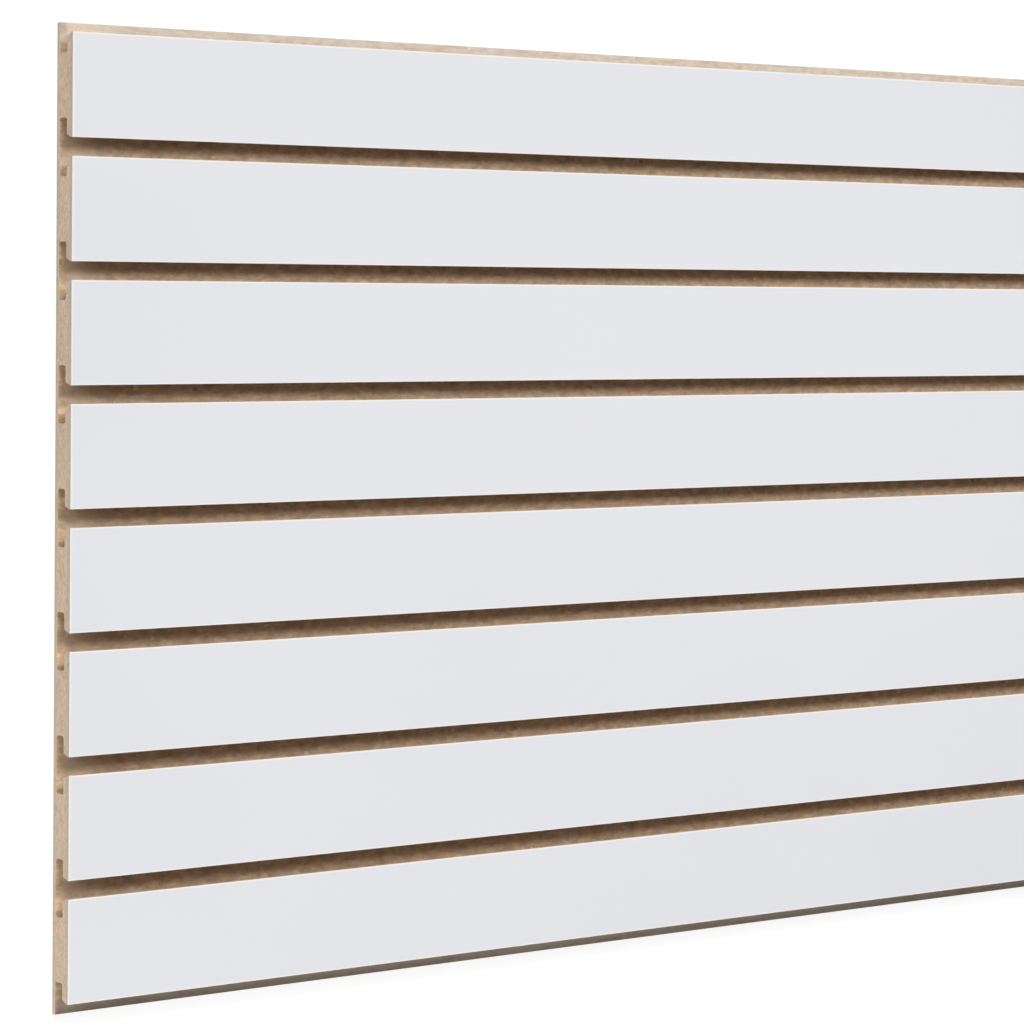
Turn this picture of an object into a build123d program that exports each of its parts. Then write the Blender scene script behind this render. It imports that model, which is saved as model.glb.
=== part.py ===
from build123d import *
import os

# Slotted display-wall panel: a fibreboard sheet with a white laminate face and T grooves across it.
# The panel lies on its back. X runs along the grooves, +Y points to the edge that hangs uppermost,
# +Z comes out of the white face, and the origin is the middle of the back. Sizes are in millimetres.

# Length that the panel is cut to
panel_length = 1219.2

# Slats and grooves, as seen on the face
slat_count = 8
groove_pitch = 76.0
throat_width = 11.5

# How far the thin web runs past the first and the last slat
upper_rebate = 6.5
lower_rebate = 8.4

# Layers, from the back to the face
web_thickness = 3.35
slot_depth = 8.5
lip_thickness = 6.5
laminate_thickness = 0.7

# Shape of a T groove
slot_undercut = 12.25
slot_corner_radius = 2.0
lip_land = 1.5
lip_bevel = 2.0

# Eased long edges of the laminate
laminate_ease = 0.25

# Heights above the back
slot_top = web_thickness + slot_depth
board_thickness = slot_top + lip_thickness
bevel_top = board_thickness - lip_land
above_web = board_thickness - web_thickness

# Sizes across the grooves
slat_width = groove_pitch - throat_width
slats_height = slat_count * groove_pitch - throat_width
panel_height = slats_height + upper_rebate + lower_rebate
slats_centre = (lower_rebate - upper_rebate) / 2
throat_reach = throat_width / 2
bevel_reach = throat_reach + lip_bevel
slot_reach = throat_reach + slot_undercut

os.makedirs("parts", exist_ok=True)

# Section of one T groove about its own centre line: a straight throat through the front of the lip,
# a bevel that widens it behind, and a slot with rounded ends that runs up and down behind both lips.
with BuildSketch() as groove_section:
    with BuildLine():
        Polyline(
            (0, web_thickness),
            (slot_reach, web_thickness),
            (slot_reach, slot_top),
            (bevel_reach, slot_top),
            (throat_reach, bevel_top),
            (throat_reach, board_thickness),
            (0, board_thickness),
        )
        mirror(about=Plane.YZ)
    make_face()
    slot_ends = groove_section.vertices().group_by(Axis.X)
    fillet(slot_ends[0] + slot_ends[-1], slot_corner_radius)

# The board: a full groove between each two slats, and half a groove along the first and last slat,
# where the lip of the next panel would come and only the thin web runs on.
with BuildPart() as core_board:
    with BuildSketch(Plane.YZ.offset(-panel_length / 2)):
        Rectangle(panel_height, board_thickness, align=(Align.CENTER, Align.MIN))
        with Locations((slats_centre, 0)):
            with GridLocations(groove_pitch, 0, slat_count + 1, 1):
                add(groove_section.sketch, mode=Mode.SUBTRACT)
        with Locations((panel_height / 2, web_thickness)):
            Rectangle(upper_rebate, above_web, align=(Align.MAX, Align.MIN), mode=Mode.SUBTRACT)
        with Locations((-panel_height / 2, web_thickness)):
            Rectangle(lower_rebate, above_web, align=(Align.MIN, Align.MIN), mode=Mode.SUBTRACT)
    extrude(amount=panel_length)

core_board.part.label = "core_board"
export_step(core_board.part, "parts/core_board.step")

# The laminate: one strip on each slat, counted from the upper edge, as wide as the slat's face and
# with its two long edges eased.
for strip_number in range(1, slat_count + 1):
    strip_centre = slats_centre + ((slat_count + 1) / 2 - strip_number) * groove_pitch
    with BuildPart() as face_strip:
        with BuildSketch(Plane.XY.offset(board_thickness)):
            with Locations((0, strip_centre)):
                Rectangle(panel_length, slat_width)
        extrude(amount=laminate_thickness)
        long_edges = face_strip.faces().sort_by(Axis.Z)[-1].edges().filter_by(Axis.X)
        chamfer(long_edges, laminate_ease)
    strip_name = f"face_strip_{strip_number}"
    face_strip.part.label = strip_name
    export_step(face_strip.part, f"parts/{strip_name}.step")
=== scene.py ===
import math

import bpy
from mathutils import Matrix, Vector


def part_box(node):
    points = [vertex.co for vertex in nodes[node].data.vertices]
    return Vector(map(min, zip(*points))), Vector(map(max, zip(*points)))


# Slotted display-wall panel, lying on its back on a white studio floor: white laminate strips over a
# raw fibreboard with T grooves. Lengths are in metres, in the frame of the solids: X along the
# grooves, +Y to the upper edge, +Z out of the white face.

MM = 0.001

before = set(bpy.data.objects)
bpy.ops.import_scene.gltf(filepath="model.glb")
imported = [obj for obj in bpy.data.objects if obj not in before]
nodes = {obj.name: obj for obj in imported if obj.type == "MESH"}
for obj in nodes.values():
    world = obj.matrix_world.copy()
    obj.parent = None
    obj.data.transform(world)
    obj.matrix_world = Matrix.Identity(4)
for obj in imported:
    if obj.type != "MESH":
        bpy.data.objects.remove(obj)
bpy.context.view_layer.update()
board_low, board_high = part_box("core_board")

# Where the grooves lie, from the laminate strips on both sides of the first one
strip_low, strip_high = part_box("face_strip_1")
next_strip_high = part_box("face_strip_2")[1]
groove_pitch = strip_high[1] - next_strip_high[1]
groove_reach = (strip_low[1] - next_strip_high[1]) / 2
groove_centre = next_strip_high[1] + groove_reach

# Camera, looking down on the face from the left end
CAMERA_PLACE = (-1.76324, 0.13752, 1.94971)
CAMERA_YAW = math.radians(37.737)
CAMERA_TILT = math.radians(-0.6140)
CAMERA_ROLL = math.radians(0.3872)
CAMERA_LENS = 128.303
CAMERA_SENSOR = 36.0
CAMERA_SHIFT = -0.17

# Studio light: a wide softbox that stands upright beyond the upper side and shines over the panel, a
# broad light from the upper side, a low one from the left end, a weak fill from the lower left, and an
# even surround
KEY_PLACE = (0.24, 0.835, 1.456)
KEY_BACKWARDS = (0.158, 1.0, 0.172)
KEY_WIDTH = 4.28
KEY_HEIGHT = 0.83
KEY_POWER = 42.1
BROAD_SOFTNESS = math.radians(20)
SIDE_DIRECTION = (-0.24, 1.15, 1.0)
SIDE_STRENGTH = 1.24
LEFT_DIRECTION = (-1.78, 0.77, 1.0)
LEFT_STRENGTH = 0.5
FILL_PLACE = (-1.06, -1.41, 0.37)
FILL_BACKWARDS = (-0.91, -1.41, 0.37)
FILL_SIZE = 0.6
FILL_POWER = 9.4
SURROUND_STRENGTH = 0.126
SURROUND_COLOUR = (0.96, 0.98, 1.0, 1.0)

# The floor glows, like a light table, so that the shadows on it stay pale
FLOOR_REACH = 20.0
FLOOR_DROP = 0.1 * MM
FLOOR_COLOUR = (0.2, 0.2, 0.2, 1.0)
FLOOR_ROUGHNESS = 0.9
FLOOR_GLOW = 0.86
GLOW_COLOUR = (1.0, 1.0, 1.0, 1.0)

# Ranges of a pattern's value, or of how far a surface faces along an axis, over which a colour comes in
NOISE_SPREAD = (0.3, 0.7)
STREAK_SPREAD = (0.35, 0.75)
SWARF_SPREAD = (0.4, 0.7)
DRIFT_SPREAD = (0.35, 0.65)
FLECK_RARITY = (0.985, 0.992)
SPLINTER_RARITY = (0.94, 0.96)
CHIP_RARITY = (0.997, 0.998)
PIT_RARITY = (0.998, 0.999)
FLAT_FACING = (0.5, 0.9)
MILLED_FACING = (0.9, 0.99)
END_FACING = (0.1, 0.5)

# White laminate: a face that drifts between two whites, a painted highlight as a pale rim around it,
# and the cut paper edge
FACE_DEEP = (0.765, 0.767, 0.799)
FACE_PALE = (0.782, 0.783, 0.813)
FACE_DRIFT_SIZE = (0.22, 0.16, 0.16)
RIM_HIGHLIGHT_COLOUR = (0.90, 0.87, 0.83)
RIM_HIGHLIGHT_SHARE = 0.75
RIM_FULL = 0.6 * MM
RIM_END = 1.4 * MM
PAPER_COLOUR = (0.89, 0.85, 0.78)
SMEAR_SIZE = (0.09, 0.03, 0.05)
SATIN_ROUGHNESS = (0.40, 0.48)
SATIN_GLOSS = 0.3
PEBBLE_SIZE = (1.1 * MM, 1.1 * MM, 1.1 * MM)
PEBBLE_HEIGHT = 0.02 * MM
PEBBLE_STRENGTH = 0.6

# Raw fibreboard: pressed grains of several browns under a slow tint, with dark flecks, pale splinters,
# fibres and long streaks
SWIRL_SIZE = (2.5 * MM, 2.5 * MM, 1.2 * MM)
SWIRL_REACH = 1.6 * MM
FINE_GRAIN_SIZE = (1.7 * MM, 1.2 * MM, 0.5 * MM)
COARSE_GRAIN_SIZE = (4.0 * MM, 2.8 * MM, 0.9 * MM)
GRAIN_BROWNS = (
    (0.0, (0.46, 0.340, 0.235)),
    (0.3, (0.58, 0.450, 0.330)),
    (0.6, (0.64, 0.510, 0.388)),
    (1.0, (0.73, 0.605, 0.480)),
)
TINT_SIZE = (9.0 * MM, 8.0 * MM, 5.0 * MM)
GRAIN_TINTS = (
    (0.30, (1.07, 0.95, 0.88)),
    (0.48, (1.0, 1.0, 1.0)),
    (0.66, (0.87, 0.89, 0.82)),
)
FLECK_COLOUR = (0.27, 0.18, 0.115)
FLECK_SHARE = 0.45
SPLINTER_COLOUR = (0.80, 0.71, 0.60)
SPLINTER_SHARE = 0.35
FIBRE_SIZE = (1.6 * MM, 1.0 * MM, 0.35 * MM)
FIBRE_COLOUR = (0.40, 0.30, 0.215)
FIBRE_SHARE = 0.22
STREAK_SIZE = (70.0 * MM, 0.9 * MM, 0.9 * MM)
STREAK_COLOUR = (0.42, 0.325, 0.24)
STREAK_SHARE = 0.12
RAW_ROUGHNESS = (0.82, 0.95)
RAW_GLOSS = 0.25
RAW_HEIGHT = 0.18 * MM
RAW_STRENGTH = 0.7
GRAIN_RELIEF = 0.6

# Denser, greyer skins at the back and the front of the board
SKIN_COLOUR = (0.43, 0.375, 0.315)
BACK_SKIN_SHARE = 0.5
BACK_SKIN_FULL = 0.8 * MM
BACK_SKIN_END = 3.2 * MM
FRONT_SKIN_SHARE = 0.6
FRONT_SKIN_FULL = 1.5 * MM
FRONT_SKIN_END = 4.5 * MM

# Milled groove floors: mottled browns of varying warmth, grey-brown swarf, pale chips and dark pits,
# fresher in the grooves than along the two long edges
BLOTCH_SIZE = (8.0 * MM, 4.0 * MM, 4.0 * MM)
BLOTCH_SHARE = 0.58
BLOTCH_BROWNS = (
    (0.34, (0.81, 0.660, 0.512)),
    (0.50, (0.60, 0.460, 0.338)),
    (0.66, (0.405, 0.29, 0.196)),
)
WARMTH_SIZE = (9.0 * MM, 4.0 * MM, 4.0 * MM)
WARMTH_TINTS = (
    (0.36, (1.10, 1.02, 0.90)),
    (0.64, (1.04, 1.05, 1.06)),
)
SWARF_SIZE = (16.0 * MM, 1.6 * MM, 1.6 * MM)
SWARF_COLOUR = (0.47, 0.40, 0.32)
SWARF_SHARE = 0.35
SCRAP_SIZE = (3.2 * MM, 2.2 * MM, 2.2 * MM)
CHIP_COLOUR = (0.88, 0.80, 0.66)
CHIP_SHARE = 0.6
PIT_COLOUR = (0.17, 0.12, 0.08)
PIT_SHARE = 0.5
FRESH_TINT = (1.12, 1.075, 1.02)
FRESH_FULL = 20.0 * MM
FRESH_END = 10.0 * MM

# Dust in the half grooves, lying in long drifts: grey along the upper edge, brown along the lower one,
# and thinner there at the sawn ends, which is painted light in the ends of the lower half groove
DRIFT_SIZE = (24.0 * MM, 2.4 * MM, 2.4 * MM)
DRIFT_THICK = 0.62
DRIFT_THIN = 0.22
UPPER_DUST_COLOUR = (0.68, 0.67, 0.635)
UPPER_DUST_FULL = 6.0 * MM
UPPER_DUST_END = 18.0 * MM
LOWER_DUST_COLOUR = (0.69, 0.63, 0.56)
LOWER_DUST_SHARE = 1.6
LOWER_DUST_FULL = 6.0 * MM
LOWER_DUST_END = 12.0 * MM
DUST_LIT_SHARE = 0.3
DUST_LIT_FULL = 2.0 * MM
DUST_LIT_END = 14.0 * MM

# Painted shade in the far corners of the slots, by the distance from the centre line of the groove
SLOT_SHADE_COLOUR = (0.12, 0.085, 0.055)
SLOT_SHADE_SHARE = 0.32
SLOT_SHADE_START = 14.0 * MM
SLOT_SHADE_FULL = 17.5 * MM
BACK_CLEAR = 1.0 * MM
BACK_CLEAR_END = 2.0 * MM

# Painted shade, then painted light, on the groove floors near the sawn ends
THROAT_FULL = 5.0 * MM
THROAT_END = 8.0 * MM
END_SHADE_COLOUR = (0.15, 0.12, 0.09)
END_SHADE_SHARE = 0.28
END_SHADE_FULL = 1.5 * MM
END_SHADE_END = 5.0 * MM
END_LIGHT_COLOUR = (0.83, 0.71, 0.55)
END_LIGHT_SHARE = 0.50
END_LIGHT_START = 3.5 * MM
END_LIGHT_FULL = 7.0 * MM
END_LIGHT_FALL = 14.0 * MM
END_LIGHT_END = 45.0 * MM

# Darker along the lower edge, and painted shade in the dust that grows towards the left end
LOWER_EDGE_DARK_COLOUR = (0.16, 0.12, 0.09)
LOWER_EDGE_DARK_SHARE = 0.36
LOWER_EDGE_DARK_END = 4.5 * MM
LEFT_SHADE_SHARE = 0.22
LEFT_SHADE_END = 0.4


class Recipe:
    """One material, with short words for adding and joining its shader nodes."""

    def __init__(self, name):
        self.material = bpy.data.materials.new(name)
        self.material.use_nodes = True
        self.tree = self.material.node_tree
        self.tree.nodes.clear()
        self.shader = self.add("ShaderNodeBsdfPrincipled")
        output = self.add("ShaderNodeOutputMaterial")
        self.join(self.shader.outputs["BSDF"], output.inputs["Surface"])
        self.place = self.add("ShaderNodeTexCoord").outputs["Object"]

    def add(self, kind, **settings):
        node = self.tree.nodes.new(kind)
        for key, value in settings.items():
            setattr(node, key, value)
        return node

    def join(self, source, target):
        self.tree.links.new(source, target)

    def put(self, value, socket):
        """Feed a socket from another node's output, or with a fixed number or colour."""
        if isinstance(value, bpy.types.NodeSocket):
            self.join(value, socket)
        elif isinstance(value, tuple) and len(socket.default_value) == 4:
            socket.default_value = (*value, 1.0)
        else:
            socket.default_value = value

    def vector(self, operation, first, second):
        node = self.add("ShaderNodeVectorMath", operation=operation)
        self.put(first, node.inputs[0])
        self.put(second, node.inputs[1])
        return node.outputs["Vector"]

    def number(self, operation, first, second):
        node = self.add("ShaderNodeMath", operation=operation)
        self.put(first, node.inputs[0])
        self.put(second, node.inputs[1])
        return node.outputs["Value"]

    def times(self, first, second):
        return self.number("MULTIPLY", first, second)

    def unsigned(self, value):
        return self.number("ABSOLUTE", value, 0.0)

    def in_units(self, size, place=None):
        """Coordinates counted in features of the given size along X, Y and Z."""
        return self.vector("DIVIDE", place or self.place, size)

    def noise(self, size, detail=3.0, roughness=0.55, output="Fac"):
        node = self.add("ShaderNodeTexNoise")
        node.inputs["Scale"].default_value = 1.0
        node.inputs["Detail"].default_value = detail
        node.inputs["Roughness"].default_value = roughness
        self.join(self.in_units(size), node.inputs["Vector"])
        return node.outputs[output]

    def warped(self, size, reach):
        """Object coordinates, pushed about by up to half the reach."""
        swirl = self.noise(size, detail=2.0, output="Color")
        centred = self.vector("SUBTRACT", swirl, (0.5, 0.5, 0.5))
        return self.vector("ADD", self.place, self.vector("MULTIPLY", centred, (reach, reach, reach)))

    def cells(self, size, place):
        """Three random numbers for each grain of a pattern with grains of the given size."""
        node = self.add("ShaderNodeTexVoronoi")
        node.inputs["Scale"].default_value = 1.0
        self.join(self.in_units(size, place), node.inputs["Vector"])
        parts = self.add("ShaderNodeSeparateColor")
        self.join(node.outputs["Color"], parts.inputs["Color"])
        return parts.outputs

    def remap(self, source, low, high, to_low=0.0, to_high=1.0):
        node = self.add("ShaderNodeMapRange", clamp=True)
        self.join(source, node.inputs["Value"])
        node.inputs["From Min"].default_value = low
        node.inputs["From Max"].default_value = high
        node.inputs["To Min"].default_value = to_low
        node.inputs["To Max"].default_value = to_high
        return node.outputs["Result"]

    def ramp(self, source, stops):
        node = self.add("ShaderNodeValToRGB")
        band = node.color_ramp.elements
        while len(band) < len(stops):
            band.new(1.0)
        for element, (position, colour) in zip(band, stops):
            element.position = position
            element.color = (*colour, 1.0)
        self.join(source, node.inputs["Fac"])
        return node.outputs["Color"]

    def mix(self, factor, first, second, blend="MIX"):
        node = self.add("ShaderNodeMix", data_type="RGBA", blend_type=blend)
        self.put(factor, node.inputs["Factor"])
        self.put(first, node.inputs[6])
        self.put(second, node.inputs[7])
        return node.outputs[2]

    def facing(self, axis):
        """How far the surface faces along an axis, from -1 to 1."""
        geometry = self.add("ShaderNodeNewGeometry")
        parts = self.add("ShaderNodeSeparateXYZ")
        self.join(geometry.outputs["True Normal"], parts.inputs["Vector"])
        return parts.outputs[axis]

    def along(self, axis):
        """Object coordinate along an axis."""
        parts = self.add("ShaderNodeSeparateXYZ")
        self.join(self.place, parts.inputs["Vector"])
        return parts.outputs[axis]

    def from_groove(self):
        """Distance across the panel from the centre line of the nearest groove."""
        past_groove = self.number("SUBTRACT", self.along("Y"), groove_centre)
        return self.number("PINGPONG", past_groove, groove_pitch / 2)

    def from_end(self):
        """Distance along the panel from the nearer sawn end."""
        return self.number("SUBTRACT", board_high[0], self.unsigned(self.along("X")))

    def bump(self, relief, distance, strength):
        node = self.add("ShaderNodeBump")
        node.inputs["Strength"].default_value = strength
        node.inputs["Distance"].default_value = distance
        self.join(relief, node.inputs["Height"])
        self.join(node.outputs["Normal"], self.shader.inputs["Normal"])


def laminate_material():
    """White satin laminate: a faint pebble grain, slow drifts of tone, and a pale paper edge."""
    m = Recipe("white_laminate_face")
    drift = m.noise(FACE_DRIFT_SIZE, detail=2.0)
    face = m.mix(m.remap(drift, *NOISE_SPREAD), FACE_DEEP, FACE_PALE)
    # A pale rim along the edges of each strip, a painted highlight
    long_rim = m.remap(m.from_groove(), groove_reach + RIM_FULL, groove_reach + RIM_END, 1.0, 0.0)
    left_rim = m.remap(m.along("X"), strip_low[0] + RIM_FULL, strip_low[0] + RIM_END, 1.0, 0.0)
    right_rim = m.remap(m.along("X"), strip_high[0] - RIM_END, strip_high[0] - RIM_FULL)
    rim = m.number("MAXIMUM", long_rim, m.number("MAXIMUM", left_rim, right_rim))
    face = m.mix(m.times(rim, RIM_HIGHLIGHT_SHARE), face, RIM_HIGHLIGHT_COLOUR)
    flat = m.remap(m.facing("Z"), *FLAT_FACING)
    m.join(m.mix(flat, PAPER_COLOUR, face), m.shader.inputs["Base Color"])
    smear = m.noise(SMEAR_SIZE)
    m.join(m.remap(smear, *NOISE_SPREAD, *SATIN_ROUGHNESS), m.shader.inputs["Roughness"])
    m.shader.inputs["Specular IOR Level"].default_value = SATIN_GLOSS
    m.bump(m.noise(PEBBLE_SIZE, detail=2.0), PEBBLE_HEIGHT, PEBBLE_STRENGTH)
    return m.material


def press_grains(m, fine, coarse, tone, fibres):
    """Browns of the pressed grains, with flecks, splinters, fibres and streaks over them."""
    tint = m.ramp(m.noise(TINT_SIZE), GRAIN_TINTS)
    colour = m.mix(1.0, m.ramp(tone, GRAIN_BROWNS), tint, "MULTIPLY")
    fleck = m.remap(fine["Blue"], *FLECK_RARITY, 0.0, FLECK_SHARE)
    colour = m.mix(fleck, colour, FLECK_COLOUR)
    splinter = m.remap(coarse["Green"], *SPLINTER_RARITY, 0.0, SPLINTER_SHARE)
    colour = m.mix(splinter, colour, SPLINTER_COLOUR)
    colour = m.mix(m.remap(fibres, *NOISE_SPREAD, 0.0, FIBRE_SHARE), colour, FIBRE_COLOUR)
    streaks = m.noise(STREAK_SIZE, detail=2.0)
    return m.mix(m.remap(streaks, *STREAK_SPREAD, 0.0, STREAK_SHARE), colour, STREAK_COLOUR)


def grey_skins(m, colour):
    """Greyer board near its back and its front."""
    depth = m.along("Z")
    front = board_high[2]
    back_skin = m.remap(depth, BACK_SKIN_FULL, BACK_SKIN_END, BACK_SKIN_SHARE, 0.0)
    front_skin = m.remap(depth, front - FRONT_SKIN_END, front - FRONT_SKIN_FULL, 0.0, FRONT_SKIN_SHARE)
    return m.mix(m.number("ADD", back_skin, front_skin), colour, SKIN_COLOUR)


def mill_floors(m, colour, milled, loose):
    """Mottled groove floors with swarf, chips and pits, and a fresher colour inside the panel."""
    blotch = m.ramp(m.noise(BLOTCH_SIZE, roughness=0.65), BLOTCH_BROWNS)
    colour = m.mix(m.times(milled, BLOTCH_SHARE), colour, blotch)
    warmth = m.ramp(m.noise(WARMTH_SIZE, detail=2.0), WARMTH_TINTS)
    colour = m.mix(milled, colour, warmth, "MULTIPLY")
    swarf = m.remap(m.noise(SWARF_SIZE), *SWARF_SPREAD, 0.0, SWARF_SHARE)
    colour = m.mix(m.times(milled, swarf), colour, SWARF_COLOUR)
    scraps = m.cells(SCRAP_SIZE, loose)
    chip = m.remap(scraps["Red"], *CHIP_RARITY, 0.0, CHIP_SHARE)
    colour = m.mix(m.times(milled, chip), colour, CHIP_COLOUR)
    pit = m.remap(scraps["Green"], *PIT_RARITY, 0.0, PIT_SHARE)
    colour = m.mix(m.times(milled, pit), colour, PIT_COLOUR)
    from_middle = m.unsigned(m.along("Y"))
    fresh = m.remap(from_middle, board_high[1] - FRESH_FULL, board_high[1] - FRESH_END, 1.0, 0.0)
    return m.mix(m.times(milled, fresh), colour, FRESH_TINT, "MULTIPLY")


def lower_dust(m):
    """How much dust lies in the lower half groove, less at the sawn ends as painted light."""
    edge = board_low[1]
    lying = m.remap(m.along("Y"), edge + LOWER_DUST_FULL, edge + LOWER_DUST_END, LOWER_DUST_SHARE, 0.0)
    # Less dust near the sawn ends, painted light in the ends of the lower half groove
    return m.times(lying, m.remap(m.from_end(), DUST_LIT_FULL, DUST_LIT_END, DUST_LIT_SHARE, 1.0))


def dust_half_grooves(m, colour, milled):
    """Drifts of dust in both half grooves."""
    drifts = m.remap(m.noise(DRIFT_SIZE), *DRIFT_SPREAD, DRIFT_THICK, DRIFT_THIN)
    dust = m.times(milled, drifts)
    upper_dust = m.remap(m.along("Y"), board_high[1] - UPPER_DUST_END, board_high[1] - UPPER_DUST_FULL)
    colour = m.mix(m.times(dust, upper_dust), colour, UPPER_DUST_COLOUR)
    return m.mix(m.times(dust, lower_dust(m)), colour, LOWER_DUST_COLOUR)


def shade_slot_corners(m, colour):
    """Painted shade in the far corners of the slots, but not on the sawn ends or the back."""
    inner = m.remap(m.unsigned(m.facing("X")), *END_FACING, 1.0, 0.0)
    inner = m.times(inner, m.remap(m.along("Z"), BACK_CLEAR, BACK_CLEAR_END))
    # Painted shade where the slots end, darkest in their far corners
    slot_shade = m.times(inner, m.remap(m.from_groove(), SLOT_SHADE_START, SLOT_SHADE_FULL, 0.0, SLOT_SHADE_SHARE))
    return m.mix(slot_shade, colour, SLOT_SHADE_COLOUR)


def paint_throat_ends(m, colour, milled):
    """Painted shade, then painted light, on the groove floors near the sawn ends."""
    from_end = m.from_end()
    at_throat = m.times(milled, m.remap(m.from_groove(), THROAT_FULL, THROAT_END, 1.0, 0.0))
    # Painted shade on the groove floors just inside the sawn ends
    end_shade = m.times(at_throat, m.remap(from_end, END_SHADE_FULL, END_SHADE_END, END_SHADE_SHARE, 0.0))
    colour = m.mix(end_shade, colour, END_SHADE_COLOUR)
    # Painted light on the groove floors a little further in from the sawn ends
    rise = m.remap(from_end, END_LIGHT_START, END_LIGHT_FULL)
    fall = m.remap(from_end, END_LIGHT_FALL, END_LIGHT_END, END_LIGHT_SHARE, 0.0)
    end_light = m.times(at_throat, m.times(rise, fall))
    return m.mix(end_light, colour, END_LIGHT_COLOUR)


def darken_lower_edge(m, colour, milled):
    """Darker along the lower edge, with painted shade that grows towards the left end."""
    left_end = board_low[0]
    outer_edge = m.remap(m.along("Y"), board_low[1], board_low[1] + LOWER_EDGE_DARK_END, LOWER_EDGE_DARK_SHARE, 0.0)
    # Painted shade in the lower half groove, growing towards the left end
    near_left = m.remap(m.along("X"), left_end, left_end + LEFT_SHADE_END, LEFT_SHADE_SHARE, 0.0)
    edge_dark_and_shade = m.number("ADD", outer_edge, m.times(lower_dust(m), near_left))
    return m.mix(m.times(milled, edge_dark_and_shade), colour, LOWER_EDGE_DARK_COLOUR)


def board_material():
    """Raw fibreboard: pressed grains, greyer skins, milled floors, dusty half grooves, painted shade in
    the slot corners and near the sawn ends, painted light on the groove floors near the sawn ends, and
    a darker lower edge.
    """
    m = Recipe("raw_fibreboard")
    loose = m.warped(SWIRL_SIZE, SWIRL_REACH)
    fine = m.cells(FINE_GRAIN_SIZE, loose)
    coarse = m.cells(COARSE_GRAIN_SIZE, loose)
    tone = m.times(m.number("ADD", fine["Red"], coarse["Red"]), 0.5)
    fibres = m.noise(FIBRE_SIZE, detail=4.0, roughness=0.65)
    milled = m.remap(m.facing("Z"), *MILLED_FACING)
    colour = press_grains(m, fine, coarse, tone, fibres)
    colour = grey_skins(m, colour)
    colour = mill_floors(m, colour, milled, loose)
    colour = dust_half_grooves(m, colour, milled)
    colour = shade_slot_corners(m, colour)
    colour = paint_throat_ends(m, colour, milled)
    colour = darken_lower_edge(m, colour, milled)
    m.join(colour, m.shader.inputs["Base Color"])
    m.join(m.remap(fibres, *NOISE_SPREAD, *RAW_ROUGHNESS), m.shader.inputs["Roughness"])
    m.shader.inputs["Specular IOR Level"].default_value = RAW_GLOSS
    m.bump(m.number("ADD", fibres, m.times(tone, GRAIN_RELIEF)), RAW_HEIGHT, RAW_STRENGTH)
    return m.material


def floor_material():
    """Matt floor with an even glow."""
    m = Recipe("studio_floor")
    m.shader.inputs["Base Color"].default_value = FLOOR_COLOUR
    m.shader.inputs["Roughness"].default_value = FLOOR_ROUGHNESS
    m.shader.inputs["Specular IOR Level"].default_value = 0.0
    m.shader.inputs["Emission Color"].default_value = GLOW_COLOUR
    m.shader.inputs["Emission Strength"].default_value = FLOOR_GLOW
    return m.material


def dress_panel():
    """Give each solid its finish."""
    board = board_material()
    laminate = laminate_material()
    for name, node in nodes.items():
        for slot in node.material_slots:
            slot.material = board if name == "core_board" else laminate


def make_floor():
    """A wide square, just under the back of the panel."""
    mesh = bpy.data.meshes.new("floor")
    corners = [
        (-FLOOR_REACH, -FLOOR_REACH, -FLOOR_DROP),
        (FLOOR_REACH, -FLOOR_REACH, -FLOOR_DROP),
        (FLOOR_REACH, FLOOR_REACH, -FLOOR_DROP),
        (-FLOOR_REACH, FLOOR_REACH, -FLOOR_DROP),
    ]
    mesh.from_pydata(corners, [], [(0, 1, 2, 3)])
    mesh.materials.append(floor_material())
    floor = bpy.data.objects.new("floor", mesh)
    bpy.context.collection.objects.link(floor)


def make_lamp(name, kind, place, backwards, energy):
    """A lamp that no camera sees; backwards points away from where it shines."""
    light = bpy.data.lights.new(name, kind)
    light.energy = energy
    lamp = bpy.data.objects.new(name, light)
    lamp.location = place
    lamp.rotation_mode = "QUATERNION"
    lamp.rotation_quaternion = Vector(backwards).to_track_quat("Z", "Y")
    lamp.visible_camera = False
    bpy.context.collection.objects.link(lamp)
    return light


def make_light():
    """The even surround and the four lamps."""
    world = bpy.data.worlds.new("surround")
    world.use_nodes = True
    background = world.node_tree.nodes["Background"]
    background.inputs["Color"].default_value = SURROUND_COLOUR
    background.inputs["Strength"].default_value = SURROUND_STRENGTH
    bpy.context.scene.world = world
    key = make_lamp("key", "AREA", KEY_PLACE, KEY_BACKWARDS, KEY_POWER)
    key.shape = "ELLIPSE"
    key.size = KEY_WIDTH
    key.size_y = KEY_HEIGHT
    side = make_lamp("side", "SUN", SIDE_DIRECTION, SIDE_DIRECTION, SIDE_STRENGTH)
    side.angle = BROAD_SOFTNESS
    left = make_lamp("left", "SUN", LEFT_DIRECTION, LEFT_DIRECTION, LEFT_STRENGTH)
    left.angle = BROAD_SOFTNESS
    fill = make_lamp("fill", "AREA", FILL_PLACE, FILL_BACKWARDS, FILL_POWER)
    fill.shape = "DISK"
    fill.size = FILL_SIZE


def make_camera():
    """The camera, turned by its yaw, tilt and roll."""
    forward = Vector((
        math.sin(CAMERA_YAW) * math.cos(CAMERA_TILT),
        math.sin(CAMERA_TILT),
        -math.cos(CAMERA_YAW) * math.cos(CAMERA_TILT),
    ))
    roll = Matrix.Rotation(-CAMERA_ROLL, 3, forward)
    right = roll @ forward.cross(Vector((0.0, 1.0, 0.0))).normalized()
    up = right.cross(forward)
    turn = Matrix((right, up, -forward)).transposed().to_4x4()
    lens = bpy.data.cameras.new("camera")
    lens.sensor_width = CAMERA_SENSOR
    lens.lens = CAMERA_LENS
    lens.shift_y = CAMERA_SHIFT
    camera = bpy.data.objects.new("camera", lens)
    camera.matrix_world = Matrix.Translation(CAMERA_PLACE) @ turn
    bpy.context.collection.objects.link(camera)
    bpy.context.scene.camera = camera
    bpy.context.scene.view_settings.view_transform = "Standard"


dress_panel()
make_floor()
make_light()
make_camera()
